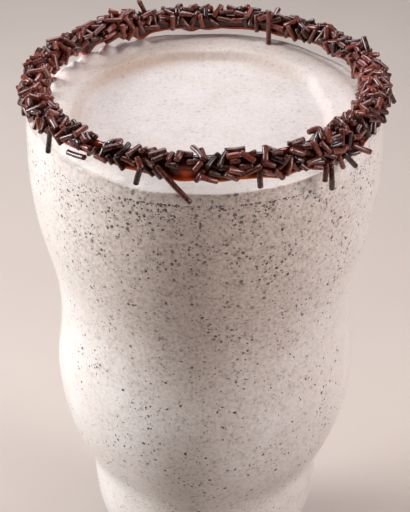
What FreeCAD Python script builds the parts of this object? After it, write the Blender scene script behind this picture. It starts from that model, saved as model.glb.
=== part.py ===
import FreeCAD, Part
import math
import os
import Sketcher

# A tall tiered glass filled with a thick milkshake, its rim coated in caramel and rolled in
# chocolate strands. Millimetres, +Z up, origin at the middle of the base, on the table.
# The side towards -Y is the side that is drunk from.

# Driving sizes. Radii and heights are those of the glass's outside. A ring is a place where the
# side stands upright: its widest or narrowest place. Falls are heights between rings.
SIZES = (
    ("mouth_radius", 43.0, "widest ring, below the rim"),
    ("brim_rise", 17.6, "height from the widest ring to the rim"),
    ("brim_lean", 1.0, "how far the rim leans in from the widest ring"),
    ("upper_fall", 43.0, "widest ring to waist"),
    ("upper_narrowing", 5.9, "radius lost from widest ring to waist"),
    ("upper_share", 0.595, "share of the wider ring's curve in that bend"),
    ("waist_fall", 17.6, "waist to middle bulge"),
    ("waist_swelling", 1.5, "radius gained from waist to middle bulge"),
    ("waist_share", 0.356, "share of the middle bulge's curve in that bend"),
    ("middle_fall", 33.0, "middle bulge to crease"),
    ("middle_narrowing", 8.3, "radius lost from middle bulge to crease"),
    ("middle_share", 0.774, "share of the middle bulge's curve in that bend"),
    ("crease_fall", 2.8, "crease to lower bulge"),
    ("crease_swelling", 0.1, "radius gained from crease to lower bulge"),
    ("crease_share", 0.41, "share of the lower bulge's curve in that bend"),
    ("lower_fall", 23.5, "lower bulge to ankle"),
    ("lower_narrowing", 6.0, "radius lost from lower bulge to ankle"),
    ("lower_share", 0.84, "share of the lower bulge's curve in that bend"),
    ("ankle_fall", 4.5, "ankle to foot"),
    ("ankle_swelling", 0.4, "radius gained from ankle to foot"),
    ("ankle_share", 0.5, "share of the foot's curve in that bend"),
    ("foot_height", 6.0, "widest place of the foot above the table"),
    ("heel_radius", 3.5, "rounding where the foot meets the table"),
    ("wall", 2.5, "thickness of the side"),
    ("floor_height", 14.0, "top of the thick base, inside"),
    ("floor_rounding", 9.0, "rounding between floor and side, inside"),
    ("rim_rounding", 1.2, "rounding of both edges of the rim"),
    ("drink_gap", 0.1, "clearance between the drink and the glass"),
    ("drink_depth", 7.4, "rim to the drink's edge, at the middle of its slope"),
    ("drink_slope", 2.5, "degrees by which the thick surface rises to the back"),
    ("dish_depth", 1.3, "how far the middle of the surface is sunk"),
    ("dish_radius", 29.0, "flat middle of the surface"),
    ("dish_bank", 3.6, "width of the bank round the sunk middle"),
    ("coat_gap", 0.1, "clearance between glass, caramel and strands"),
    ("caramel_film", 0.6, "thickness of the caramel"),
    ("caramel_outside", 5.0, "how far the caramel reaches down outside"),
    ("caramel_clear", 1.6, "least height left inside between the caramel and the drink"),
    ("strands_side", 2.3, "thickness of the strands beside the rim"),
    ("strands_top", 2.0, "thickness of the strands over the rim"),
    ("strands_outside", 5.4, "how far the strands reach down outside"),
    ("strands_clear", 0.4, "least height left inside between the strands and the drink"),
    ("strands_uneven", 0.22, "share by which the strands' outline comes and goes"),
)


class Size:
    """A length known both as a number and as an expression on the sheet's cells."""

    def __init__(self, number, text):
        self.number = number
        self.text = text

    def __add__(self, other):
        return Size(self.number + other.number, f"({self.text} + {other.text})")

    def __sub__(self, other):
        return Size(self.number - other.number, f"({self.text} - {other.text})")

    def __mul__(self, other):
        return Size(self.number * other.number, f"({self.text} * {other.text})")

    def __truediv__(self, other):
        return Size(self.number / other.number, f"({self.text} / {other.text})")

    def tangent(self):
        """Tangent of a size that is an angle in degrees."""
        return Size(math.tan(math.radians(self.number)), f"tan({self.text} * 1 deg)")


NONE = Size(0.0, "0")
TWO = Size(2.0, "2")
CELLS = {name: Size(value, f"Sizes.{name}") for name, value, _ in SIZES}

# Each bend lies between two rings and is two arcs that meet without a kink: its name, and
# whether the wider ring is the upper one.
BENDS = (
    ("upper", True),
    ("waist", False),
    ("middle", True),
    ("crease", False),
    ("lower", True),
    ("ankle", False),
)


def cell(name):
    return CELLS[name]


def bend_change(name, narrows):
    """How much the radius changes over a bend, as a positive length."""
    return cell(name + ("_narrowing" if narrows else "_swelling"))


def ring_places():
    """Radius and height of every ring of the outside, from the widest one down."""
    radius = cell("mouth_radius")
    height = cell("foot_height")
    for name, _ in BENDS:
        height = height + cell(name + "_fall")
    places = [(radius, height)]
    for name, narrows in BENDS:
        change = bend_change(name, narrows)
        radius = radius - change if narrows else radius + change
        height = height - cell(name + "_fall")
        places.append((radius, height))
    return places


def both_arc_radii(name, narrows):
    """Both arcs' radii together, for two arcs that are upright at a bend's two rings."""
    change = bend_change(name, narrows)
    fall = cell(name + "_fall")
    return (change * change + fall * fall) / (TWO * change)


def wide_arc_radius(name, narrows):
    """Radius of the arc at a bend's wider ring: its share of both arcs' radii."""
    return cell(name + "_share") * both_arc_radii(name, narrows)


def brim_arc_radius():
    """Radius of the arc that leans the brim in towards the rim."""
    rise = cell("brim_rise")
    lean = cell("brim_lean")
    return (rise * rise + lean * lean) / (TWO * lean)


RINGS = ring_places()
HEIGHT = RINGS[0][1] + cell("brim_rise")
# The coats on the rim follow the brim arc: its middle lies behind the axis, at a ring's level.
BRIM_ARC = brim_arc_radius()
BRIM_BACK = BRIM_ARC - cell("mouth_radius")
BRIM_LEVEL = RINGS[0][1]
# The drink's surface slopes up to the back, where it comes nearest to what hangs inside the rim.
DRINK_LEVEL = HEIGHT - cell("drink_depth")
DRINK_PEAK = DRINK_LEVEL + (cell("mouth_radius") - cell("wall")) * cell("drink_slope").tangent()


class Outline:
    """A sketch on a body's XZ plane: x is the distance from the glass's axis, y the height."""

    START, END, CENTRE = 1, 2, 3
    ORIGIN = (-1, 1)

    def __init__(self, body, name):
        plane = next(o for o in body.Origin.OriginFeatures if o.Role == "XZ_Plane")
        self.sketch = body.newObject("Sketcher::SketchObject", name)
        self.sketch.AttachmentSupport = [(plane, "")]
        self.sketch.MapMode = "FlatFace"

    def line(self, a, b):
        start = FreeCAD.Vector(a[0], a[1], 0)
        end = FreeCAD.Vector(b[0], b[1], 0)
        return self.sketch.addGeometry(Part.LineSegment(start, end), False)

    def arc(self, centre, radius, first, last):
        """An arc from the first to the last angle, counter-clockwise, in degrees."""
        circle = Part.Circle(FreeCAD.Vector(centre[0], centre[1], 0), FreeCAD.Vector(0, 0, 1), radius)
        arc = Part.ArcOfCircle(circle, math.radians(first), math.radians(last))
        return self.sketch.addGeometry(arc, False)

    def tie(self, kind, *places):
        """A constraint with no size, such as Coincident or Tangent."""
        self.sketch.addConstraint(Sketcher.Constraint(kind, *places))

    def bind(self, kind, places, size):
        """A constraint whose size is bound to the sheet."""
        index = self.sketch.addConstraint(Sketcher.Constraint(kind, *places, size.number))
        name = f"{kind}{index}"
        self.sketch.renameConstraint(index, name)
        self.sketch.setExpression("Constraints." + name, size.text)

    def place(self, geometry, point, x, y):
        """Fixes a point at a distance from the axis and a height."""
        self.bind("DistanceX", (*self.ORIGIN, geometry, point), x)
        self.bind("DistanceY", (*self.ORIGIN, geometry, point), y)

    def level(self, geometry, point):
        """Keeps an arc's centre level with one of its ends, so the side is upright there."""
        self.tie("Horizontal", geometry, self.CENTRE, geometry, point)


def draw_brim(outline, inset, top):
    """The arc from the widest ring up to a level, on a curve inset from the outside."""
    radius = BRIM_ARC - inset
    centre = (-BRIM_BACK.number, BRIM_LEVEL.number)
    turn = math.degrees(math.asin((top - BRIM_LEVEL).number / radius.number))
    arc = outline.arc(centre, radius.number, 0, turn)
    outline.place(arc, outline.START, RINGS[0][0] - inset, BRIM_LEVEL)
    outline.level(arc, outline.START)
    outline.bind("Radius", (arc,), radius)
    outline.bind("DistanceY", (*outline.ORIGIN, arc, outline.END), top)
    return arc


def draw_bend(outline, index, inset, above):
    """Two arcs from one ring down to the next. Returns the last arc and its lower end."""
    name, narrows = BENDS[index]
    upper = RINGS[index]
    lower = RINGS[index + 1]
    wide, narrow = (upper, lower) if narrows else (lower, upper)
    both = both_arc_radii(name, narrows)
    turn = math.degrees(math.asin(cell(name + "_fall").number / both.number))
    wide_radius = wide_arc_radius(name, narrows) - inset
    narrow_radius = both.number - wide_radius.number
    wide_centre = ((wide[0] - inset).number - wide_radius.number, wide[1].number)
    narrow_centre = ((narrow[0] - inset).number + narrow_radius, narrow[1].number)
    if narrows:
        wide_arc = outline.arc(wide_centre, wide_radius.number, -turn, 0)
        narrow_arc = outline.arc(narrow_centre, narrow_radius, 180 - turn, 180)
        first, last = (wide_arc, outline.END), (narrow_arc, outline.END)
        join = outline.START
    else:
        wide_arc = outline.arc(wide_centre, wide_radius.number, 0, turn)
        narrow_arc = outline.arc(narrow_centre, narrow_radius, 180, 180 + turn)
        first, last = (narrow_arc, outline.START), (wide_arc, outline.START)
        join = outline.END
    outline.tie("Coincident", *above, *first)
    outline.level(*first)
    outline.place(*last, lower[0] - inset, lower[1])
    outline.level(*last)
    outline.bind("Radius", (wide_arc,), wide_radius)
    outline.tie("Tangent", wide_arc, join, narrow_arc, join)
    return last


def close_at_axis(outline, brim, base, base_end, top, bottom):
    """Lines from the brim in to the axis, down it and out to the base line's inner end."""
    sketch = outline.sketch
    brim_end = sketch.getPoint(brim, outline.END)
    lid = outline.line((brim_end.x, top.number), (0, top.number))
    axis = outline.line((0, top.number), (0, bottom.number))
    outline.tie("Coincident", brim, outline.END, lid, outline.START)
    outline.tie("Horizontal", lid)
    outline.tie("Coincident", lid, outline.END, axis, outline.START)
    outline.tie("PointOnObject", axis, outline.START, -2)
    outline.tie("Coincident", axis, outline.END, base, base_end)


def draw_outside(body):
    """Half of the glass's outside, from the rim down over every ring to the heel."""
    outline = Outline(body, "glass_outside")
    brim = draw_brim(outline, NONE, HEIGHT)
    above = (brim, outline.START)
    for index in range(len(BENDS)):
        above = draw_bend(outline, index, NONE, above)
    foot = RINGS[-1][0].number
    heel = cell("heel_radius").number
    side = outline.line((foot, cell("foot_height").number), (foot, heel))
    corner = outline.arc((foot - heel, heel), heel, -90, 0)
    base = outline.line((foot - heel, 0), (0, 0))
    outline.tie("Coincident", *above, side, outline.START)
    outline.tie("Vertical", side)
    outline.tie("Tangent", side, outline.END, corner, outline.END)
    outline.bind("Radius", (corner,), cell("heel_radius"))
    outline.tie("Tangent", corner, outline.START, base, outline.START)
    outline.tie("Horizontal", base)
    outline.tie("Coincident", base, outline.END, *outline.ORIGIN)
    close_at_axis(outline, brim, base, outline.END, HEIGHT, NONE)
    return outline.sketch


def draw_inside(body, name, inset, floor, rounding, top):
    """Half of a space inside the glass, on a curve inset from its outside, down to a floor."""
    outline = Outline(body, name)
    brim = draw_brim(outline, inset, top)
    above = (brim, outline.START)
    lowest = len(BENDS) - 2
    for index in range(lowest):
        above = draw_bend(outline, index, inset, above)
    ring = (RINGS[lowest][0] - inset).number
    level = RINGS[lowest][1].number
    radius = wide_arc_radius(*BENDS[lowest]) - inset
    corner_radius = rounding.number
    drop = level - floor.number - corner_radius
    turn = math.degrees(math.asin(drop / (radius.number - corner_radius)))
    reach = (radius.number - corner_radius) * math.cos(math.radians(turn))
    corner_x = ring - radius.number + reach
    corner_y = floor.number + corner_radius
    side = outline.arc((ring - radius.number, level), radius.number, -turn, 0)
    corner = outline.arc((corner_x, corner_y), corner_radius, -90, -turn)
    base = outline.line((corner_x, floor.number), (0, floor.number))
    outline.tie("Coincident", *above, side, outline.END)
    outline.level(side, outline.END)
    outline.bind("Radius", (side,), radius)
    outline.tie("Tangent", side, outline.START, corner, outline.END)
    outline.bind("Radius", (corner,), rounding)
    outline.tie("Tangent", corner, outline.START, base, outline.START)
    outline.tie("Horizontal", base)
    outline.bind("DistanceY", (*outline.ORIGIN, base, outline.END), floor)
    outline.tie("PointOnObject", base, outline.END, -2)
    close_at_axis(outline, brim, base, outline.END, top, floor)
    return outline.sketch


def draw_band(body, name, spread, top, outside, inside, rounding):
    """A band over the rim: it follows the brim on both sides, with rounded upper corners."""
    outline = Outline(body, name)
    start, end = outline.START, outline.END
    origin_x = -BRIM_BACK.number
    corner_level = (top - rounding - BRIM_LEVEL).number
    sides = []
    corners = []
    # The outer corner lies within its side's arc, the inner corner beyond it.
    for inset, bottom, within in ((NONE - spread, outside, 1), (cell("wall") + spread, inside, -1)):
        radius = BRIM_ARC - inset
        reach = radius.number - within * rounding.number
        lean = math.degrees(math.asin(corner_level / reach))
        low = math.degrees(math.asin((bottom - BRIM_LEVEL).number / radius.number))
        centre = (origin_x + reach * math.cos(math.radians(lean)), (top - rounding).number)
        side = outline.arc((origin_x, BRIM_LEVEL.number), radius.number, low, lean)
        if within > 0:
            corner = outline.arc(centre, rounding.number, lean, 90)
            joint, crown = start, end
        else:
            corner = outline.arc(centre, rounding.number, 90, 180 + lean)
            joint, crown = end, start
        outline.bind("DistanceX", (side, outline.CENTRE, *outline.ORIGIN), BRIM_BACK)
        outline.bind("DistanceY", (*outline.ORIGIN, side, outline.CENTRE), BRIM_LEVEL)
        outline.bind("Radius", (side,), radius)
        outline.bind("DistanceY", (*outline.ORIGIN, side, start), bottom)
        outline.bind("Radius", (corner,), rounding)
        outline.tie("Tangent", side, end, corner, joint)
        sides.append(side)
        corners.append((corner, crown))
    for kind, ends in (("Tangent", corners), ("Coincident", [(side, start) for side in sides])):
        points = [outline.sketch.getPoint(*place) for place in ends]
        across = outline.line((points[0].x, points[0].y), (points[1].x, points[1].y))
        outline.tie(kind, *ends[0], across, start)
        outline.tie(kind, *ends[1], across, end)
        if kind == "Tangent":
            outline.tie("Horizontal", across)
            outline.bind("DistanceY", (*outline.ORIGIN, across, start), top)
    return outline.sketch


def revolve(body, kind, name, sketch):
    """Turns a sketch once round the glass's axis, adding or cutting."""
    feature = body.newObject(kind, name)
    feature.Profile = sketch
    feature.ReferenceAxis = (sketch, ["V_Axis"])
    feature.Angle = 360.0
    sketch.Visibility = False
    return feature


def round_edges(body, name, base, level, radius):
    """Rounds the circular edges of a body that lie at one level."""
    names = []
    for number, edge in enumerate(base.Shape.Edges, 1):
        box = edge.BoundBox
        if abs(box.ZMin - level.number) < 1e-4 and abs(box.ZMax - level.number) < 1e-4:
            names.append(f"Edge{number}")
    fillet = body.newObject("PartDesign::Fillet", name)
    fillet.Base = (base, names)
    fillet.setExpression("Radius", radius.text)
    return fillet


def new_body(doc, name):
    body = doc.addObject("PartDesign::Body", name)
    body.Label = name
    return body


def make_sheet(doc):
    """The spreadsheet that holds every driving size: name, value and meaning."""
    sheet = doc.addObject("Spreadsheet::Sheet", "Sizes")
    for row, (name, value, meaning) in enumerate(SIZES, 1):
        sheet.set(f"A{row}", name)
        sheet.set(f"B{row}", str(value))
        sheet.setAlias(f"B{row}", name)
        sheet.set(f"C{row}", meaning)
    doc.recompute()
    return sheet


def make_glass(doc):
    """Pressed clear glass: three tiers, a thick base and a round rim."""
    body = new_body(doc, "glass")
    revolve(body, "PartDesign::Revolution", "glass_blank", draw_outside(body))
    wall = cell("wall")
    room = draw_inside(body, "glass_room", wall, cell("floor_height"), cell("floor_rounding"), HEIGHT)
    hollow = revolve(body, "PartDesign::Groove", "glass_hollow", room)
    doc.recompute()
    round_edges(body, "glass_rim", hollow, HEIGHT, cell("rim_rounding"))
    return body


def make_headspace(doc):
    """The space above the drink, with its underside shaped as the drink's surface."""
    body = new_body(doc, "headspace")
    outline = Outline(body, "headspace_section")
    bank = cell("dish_radius") + cell("dish_bank")
    over = RINGS[0][0] + cell("wall")
    top = cell("drink_depth") + cell("drink_depth")
    # The bank round the sunk middle is one smooth bend of two equal arcs.
    depth = cell("dish_depth").number
    width = cell("dish_bank").number
    bend = (depth * depth + width * width) / (4 * depth)
    lean = math.degrees(math.asin(width / (2 * bend)))
    inner = cell("dish_radius").number
    middle = outline.line((0, -depth), (inner, -depth))
    hollow = outline.arc((inner, bend - depth), bend, -90, -90 + lean)
    crest = outline.arc((bank.number, -bend), bend, 90, 90 + lean)
    edge = outline.line((bank.number, 0), (over.number, 0))
    side = outline.line((over.number, 0), (over.number, top.number))
    lid = outline.line((over.number, top.number), (0, top.number))
    axis = outline.line((0, top.number), (0, -depth))
    start, end = outline.START, outline.END
    outline.tie("Tangent", middle, end, hollow, start)
    outline.tie("Tangent", hollow, end, crest, end)
    outline.tie("Equal", hollow, crest)
    outline.tie("Tangent", crest, start, edge, start)
    outline.tie("Coincident", edge, end, side, start)
    outline.tie("Coincident", side, end, lid, start)
    outline.tie("Coincident", lid, end, axis, start)
    outline.tie("Coincident", axis, end, middle, start)
    outline.tie("Horizontal", middle)
    outline.tie("Horizontal", edge)
    outline.tie("Vertical", side)
    outline.tie("Horizontal", lid)
    outline.tie("PointOnObject", middle, start, -2)
    outline.tie("PointOnObject", lid, end, -2)
    outline.tie("PointOnObject", edge, start, -1)
    outline.bind("DistanceY", (middle, end, *outline.ORIGIN), cell("dish_depth"))
    outline.bind("DistanceX", (*outline.ORIGIN, middle, end), cell("dish_radius"))
    outline.bind("DistanceX", (*outline.ORIGIN, edge, start), bank)
    outline.bind("DistanceX", (*outline.ORIGIN, edge, end), over)
    outline.bind("DistanceY", (*outline.ORIGIN, side, end), top)
    revolve(body, "PartDesign::Revolution", "headspace_solid", outline.sketch)
    body.Placement = FreeCAD.Placement(
        FreeCAD.Vector(0, 0, DRINK_LEVEL.number),
        FreeCAD.Rotation(FreeCAD.Vector(1, 0, 0), cell("drink_slope").number))
    body.setExpression("Placement.Base.z", DRINK_LEVEL.text)
    body.setExpression("Placement.Rotation.Angle", cell("drink_slope").text)
    return body


def make_milkshake(doc):
    """The drink: it fills the glass up to a gently sloping surface with a sunk middle."""
    gap = cell("drink_gap")
    filling = new_body(doc, "filling")
    inset = cell("wall") + gap
    floor = cell("floor_height") + gap
    rounding = cell("floor_rounding") - gap
    section = draw_inside(filling, "filling_section", inset, floor, rounding, HEIGHT)
    revolve(filling, "PartDesign::Revolution", "filling_solid", section)
    drink = doc.addObject("Part::Cut", "milkshake")
    drink.Base = filling
    drink.Tool = make_headspace(doc)
    drink.Label = "milkshake"
    return drink


def make_caramel(doc):
    """A film of caramel over the rim, reaching down on both sides of it."""
    body = new_body(doc, "caramel")
    seat = cell("coat_gap")
    face = seat + cell("caramel_film")
    round_rim = cell("rim_rounding")
    outside = HEIGHT - cell("caramel_outside")
    inside = DRINK_PEAK + cell("caramel_clear")
    film = draw_band(
        body, "caramel_section", face, HEIGHT + face, outside, inside, round_rim + face)
    revolve(body, "PartDesign::Revolution", "caramel_blank", film)
    # The seat is cut from well below the film's lower edges, so that it is open downwards.
    low = DRINK_LEVEL - cell("caramel_outside")
    hollow = draw_band(body, "caramel_seat", seat, HEIGHT + seat, low, low, round_rim + seat)
    revolve(body, "PartDesign::Groove", "caramel_hollow", hollow)
    return body


def brim_radius(height, inset):
    """Radius at a height of the surface that lies inset from the brim's outside."""
    rise = height - BRIM_LEVEL.number
    return math.sqrt((BRIM_ARC.number - inset) ** 2 - rise ** 2) - BRIM_BACK.number


def unevenness(angle, waves, phase):
    """A wandering value between -1 and 1 that closes on itself round the rim."""
    total = sum(math.sin(wave * angle + phase * wave) for wave in waves)
    return total / len(waves)


def strand_section(angle):
    """Points of the strands' section at one place round the rim, as (radius, height) pairs."""
    uneven = cell("strands_uneven").number
    wall = cell("wall").number
    seat = 2 * cell("coat_gap").number + cell("caramel_film").number
    rim = HEIGHT.number
    top = rim + seat
    side_out = cell("strands_side").number * (1 + uneven * unevenness(angle, (3, 7, 16), 0.4))
    side_in = cell("strands_side").number * (1 + uneven * unevenness(angle, (4, 9, 15), 1.7))
    crown = cell("strands_top").number * (1 + uneven * unevenness(angle, (5, 8, 17), 2.9))
    low_out = rim - cell("strands_outside").number * (1 + uneven * unevenness(angle, (2, 6, 13), 0.9))
    lowest_in = DRINK_PEAK.number + cell("strands_clear").number
    low_in = rim - (rim - lowest_in) * (1 - uneven * (1 - unevenness(angle, (3, 8, 14), 2.2)))
    # From the outer lower edge up, over the crown and down inside, then back along the seat.
    shoulder = rim - 0.3 * crown
    outer = brim_radius(rim, -seat)
    inner = brim_radius(rim, wall + seat)
    middle = (outer + inner) / 2
    return (
        (brim_radius(low_out, -seat), low_out),
        (brim_radius(low_out, -seat) + 0.55 * side_out, low_out + 0.2 * side_out),
        (brim_radius((low_out + rim) / 2, -seat) + side_out, (low_out + rim) / 2),
        (outer + 0.85 * side_out, shoulder),
        (outer + 0.35 * side_out, top + 0.7 * crown),
        (middle, top + crown),
        (inner - 0.35 * side_in, top + 0.7 * crown),
        (inner - 0.85 * side_in, shoulder),
        (brim_radius((low_in + rim) / 2, wall + seat) - side_in, (low_in + rim) / 2),
        (brim_radius(low_in, wall + seat) - 0.55 * side_in, low_in + 0.2 * side_in),
        (brim_radius(low_in, wall + seat), low_in),
        (inner, top),
        (outer, top),
    )


def make_strands(doc):
    """The heap of chocolate strands round the rim, out to its uneven outline, in flat facets."""
    steps = 72
    rings = []
    for step in range(steps):
        angle = 2 * math.pi * step / steps
        rings.append([
            FreeCAD.Vector(radius * math.cos(angle), radius * math.sin(angle), height)
            for radius, height in strand_section(angle)])
    facets = []
    count = len(rings[0])
    for step in range(steps):
        here = rings[step]
        there = rings[(step + 1) % steps]
        for k in range(count):
            n = (k + 1) % count
            for corners in ((here[k], there[k], there[n]), (here[k], there[n], here[n])):
                facets.append(Part.Face(Part.makePolygon([*corners, corners[0]])))
    solid = Part.Solid(Part.Shell(facets))
    if solid.Volume < 0:
        solid.reverse()
    heap = doc.addObject("Part::Feature", "strands")
    heap.Shape = solid
    heap.Placement = FreeCAD.Placement()
    heap.Label = "strands"
    return heap


def check(doc, parts):
    """Stops if anything in the document failed or a part is not a sound solid."""
    for item in doc.Objects:
        if "Invalid" in item.State or "Error" in item.State:
            raise RuntimeError(f"{item.Name} failed: {item.State}")
    for part in parts:
        shape = part.Shape
        if shape.isNull() or not shape.isValid() or len(shape.Solids) != 1:
            raise RuntimeError(f"{part.Label} is not one valid solid")


def main():
    doc = FreeCAD.newDocument("tiered_glass_milkshake")
    make_sheet(doc)
    parts = [make_glass(doc), make_milkshake(doc), make_caramel(doc), make_strands(doc)]
    doc.recompute()
    check(doc, parts)
    os.makedirs("parts", exist_ok=True)
    for part in parts:
        part.Shape.exportStep(f"parts/{part.Label}.step")
        box = part.Shape.BoundBox
        print(part.Label, round(part.Shape.Volume, 1), "mm3", box)


main()
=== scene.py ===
import math

import bpy
import numpy as np
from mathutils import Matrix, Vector


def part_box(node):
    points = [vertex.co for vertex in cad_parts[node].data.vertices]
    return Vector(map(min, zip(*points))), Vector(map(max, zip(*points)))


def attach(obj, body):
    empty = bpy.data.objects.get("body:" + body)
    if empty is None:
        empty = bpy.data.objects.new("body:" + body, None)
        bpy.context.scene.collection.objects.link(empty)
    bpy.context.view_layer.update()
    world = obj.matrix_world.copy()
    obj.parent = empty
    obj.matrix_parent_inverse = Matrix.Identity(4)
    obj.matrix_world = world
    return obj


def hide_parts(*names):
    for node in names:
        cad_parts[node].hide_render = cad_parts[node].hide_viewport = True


bl_info = {
    "name": "Milkshake in a tiered glass",
    "version": (1, 0, 0),
    "blender": (4, 5, 0),
    "location": "3D View > Sidebar > Milkshake",
    "description": "Builds the looks of a milkshake with a caramel and chocolate rim",
    "category": "Object",
}

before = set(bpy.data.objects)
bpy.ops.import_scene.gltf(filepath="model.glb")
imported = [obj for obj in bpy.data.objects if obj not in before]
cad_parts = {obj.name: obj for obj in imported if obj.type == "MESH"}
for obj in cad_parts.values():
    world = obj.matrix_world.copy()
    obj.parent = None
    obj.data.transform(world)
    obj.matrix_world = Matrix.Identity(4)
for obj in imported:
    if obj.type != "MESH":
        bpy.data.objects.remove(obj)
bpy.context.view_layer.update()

MM = 0.001
UP = np.array((0.0, 0.0, 1.0))
SEED = 7


# Reading the frame ---------------------------------------------------------------------------

def node_points(node):
    """A CAD node's corner points and their normals, as arrays in metres."""
    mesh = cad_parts[node].data
    count = len(mesh.vertices)
    points = np.empty(count * 3)
    normals = np.empty(count * 3)
    mesh.vertices.foreach_get("co", points)
    mesh.vertices.foreach_get("normal", normals)
    return points.reshape(-1, 3), normals.reshape(-1, 3)


def side_profile(node, outward):
    """Heights and radii of a turned node's outer or inner side, from the bottom up."""
    points, normals = node_points(node)
    radius = np.hypot(points[:, 0], points[:, 1])
    facing = (points[:, 0] * normals[:, 0] + points[:, 1] * normals[:, 1]) / np.maximum(radius, MM)
    side = facing > 0.6 if outward else facing < -0.6
    heights = np.round(points[side, 2], 5)
    levels = np.unique(heights)
    radii = np.array([radius[side][heights == level].mean() for level in levels])
    return levels, radii


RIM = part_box("glass")[1].z
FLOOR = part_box("milkshake")[0].z
DRINK_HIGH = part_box("milkshake")[1].z
OUTSIDE = side_profile("glass", True)
INSIDE = side_profile("glass", False)


def outside_radius(height):
    return np.interp(height, *OUTSIDE)


def inside_radius(height):
    return np.interp(height, *INSIDE)


# The wall is measured below the rim's rounding, and the fill line is where the drink's edge lies.
WALL_LEVEL = RIM - 5 * MM
WALL = float(outside_radius(WALL_LEVEL) - inside_radius(WALL_LEVEL))
RIM_MIDDLE = float(inside_radius(RIM - 2 * MM)) + WALL / 2
FILL_LINE = RIM - 7 * MM
FILL_RADIUS = float(inside_radius(FILL_LINE))
# The rounding between the drink's side and its bottom, and where crumbs begin above the bottom.
CORNER = 9 * MM
CRUMB_FOOT = FLOOR + 8 * MM
# The fill line at the front, below which the crumbs lie, is lower than at the back.
CRUMB_TOP = DRINK_HIGH - 6 * MM


# Colours and nodes ---------------------------------------------------------------------------

def linear(code):
    """A hex colour, such as #EBDCD4, as linear red, green, blue and alpha."""
    parts = [int(code[i:i + 2], 16) / 255 for i in (1, 3, 5)]
    turned = [c / 12.92 if c <= 0.04045 else ((c + 0.055) / 1.055) ** 2.4 for c in parts]
    return (*turned, 1.0)


def add_node(tree, kind, inputs=None, stops=None, **settings):
    """Adds a node with its settings, and each input as a value or as a link from a socket."""
    made = tree.nodes.new("ShaderNode" + kind)
    for name, value in settings.items():
        setattr(made, name, value)
    for key, value in (inputs or {}).items():
        if isinstance(value, bpy.types.NodeSocket):
            tree.links.new(value, made.inputs[key])
        else:
            made.inputs[key].default_value = value
    if stops:
        ramp = made.color_ramp
        while len(ramp.elements) < len(stops):
            ramp.elements.new(0.5)
        for element, (place, colour) in zip(ramp.elements, stops):
            element.position = place
            element.color = colour
    return made


def new_material(name):
    """An empty material and its tree, with the output node in place."""
    material = bpy.data.materials.new(name)
    material.use_nodes = True
    tree = material.node_tree
    tree.nodes.clear()
    output = tree.nodes.new("ShaderNodeOutputMaterial")
    return material, tree, output


# Settings that a user would change -----------------------------------------------------------

class MilkshakeSizes(bpy.types.PropertyGroup):
    bite: bpy.props.FloatProperty(
        name="Bite", description="How far the drink reaches into the glass wall",
        default=0.15 * MM, unit="LENGTH", precision=5)
    dish_radius: bpy.props.FloatProperty(
        name="Dish radius", description="Flat sunk middle of the drink's surface",
        default=29.0 * MM, unit="LENGTH")
    dish_bank: bpy.props.FloatProperty(
        name="Bank width", description="Width of the bank round the sunk middle",
        default=3.0 * MM, unit="LENGTH")
    dish_depth: bpy.props.FloatProperty(
        name="Dish depth", description="How far the middle is sunk",
        default=2.0 * MM, unit="LENGTH")
    slope: bpy.props.FloatProperty(
        name="Surface slope", description="How much the thick surface rises to the back",
        default=math.radians(2.5), subtype="ANGLE")
    crumbs: bpy.props.IntProperty(
        name="Crumbs", description="Biscuit crumbs that lie against the glass", default=3600)
    caramel_film: bpy.props.FloatProperty(
        name="Caramel film", description="Thickness of the caramel where it is even",
        default=0.55 * MM, unit="LENGTH", precision=5)
    strand_width: bpy.props.FloatProperty(
        name="Strand width", description="Usual thickness of a chocolate strand",
        default=1.35 * MM, unit="LENGTH", precision=5)
    strand_length: bpy.props.FloatProperty(
        name="Strand length", description="Usual length of a chocolate strand",
        default=3.8 * MM, unit="LENGTH")
    strands: bpy.props.IntProperty(
        name="Strands", description="Most chocolate strands on the rim", default=780)


class MilkshakeColours(bpy.types.PropertyGroup):
    milk: bpy.props.StringProperty(
        name="Milkshake", description="Colour of the drink", default="#EBE3DF")
    milk_shade: bpy.props.StringProperty(
        name="Milkshake, cloudy", description="Where fine crumb clouds the drink", default="#D3C2B4")
    # Painted warm shade, laid on the front of the drink's side and on the bank round its sunk middle.
    milk_painted_shade: bpy.props.StringProperty(
        name="Milkshake, stained", description="Where the most crumb is", default="#CBAA90")
    milk_dust: bpy.props.StringProperty(
        name="Milkshake, dusty", description="Specks of the finest biscuit dust", default="#93705A")
    crumb_dark: bpy.props.StringProperty(
        name="Crumb, dark", description="Darkest biscuit crumb", default="#332A26")
    crumb_light: bpy.props.StringProperty(
        name="Crumb, light", description="Lightest biscuit crumb", default="#6E5B50")
    caramel_thick: bpy.props.StringProperty(
        name="Caramel, thick", description="Caramel where it lies thick", default="#3E0E04")
    caramel_middle: bpy.props.StringProperty(
        name="Caramel, middle", description="Caramel at a middling thickness", default="#8A2A07")
    # Thin caramel, also used for the painted glow of light through the caramel.
    caramel_thin: bpy.props.StringProperty(
        name="Caramel, thin", description="Caramel where it thins out", default="#E8620E")
    chocolate_dark: bpy.props.StringProperty(
        name="Chocolate, dark", description="Darkest strands", default="#1C0603")
    chocolate_light: bpy.props.StringProperty(
        name="Chocolate, light", description="Lightest strands", default="#96402E")
    chocolate_dust: bpy.props.StringProperty(
        name="Chocolate, dusty", description="Rubbed, dusty places on the strands", default="#A5634F")
    floor_shade: bpy.props.StringProperty(
        name="Floor, mottled", description="Faint mottling of the floor", default="#C8B9AE")
    floor: bpy.props.StringProperty(
        name="Floor", description="Plain floor and backdrop", default="#D0C1B6")


# Materials -----------------------------------------------------------------------------------

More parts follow.
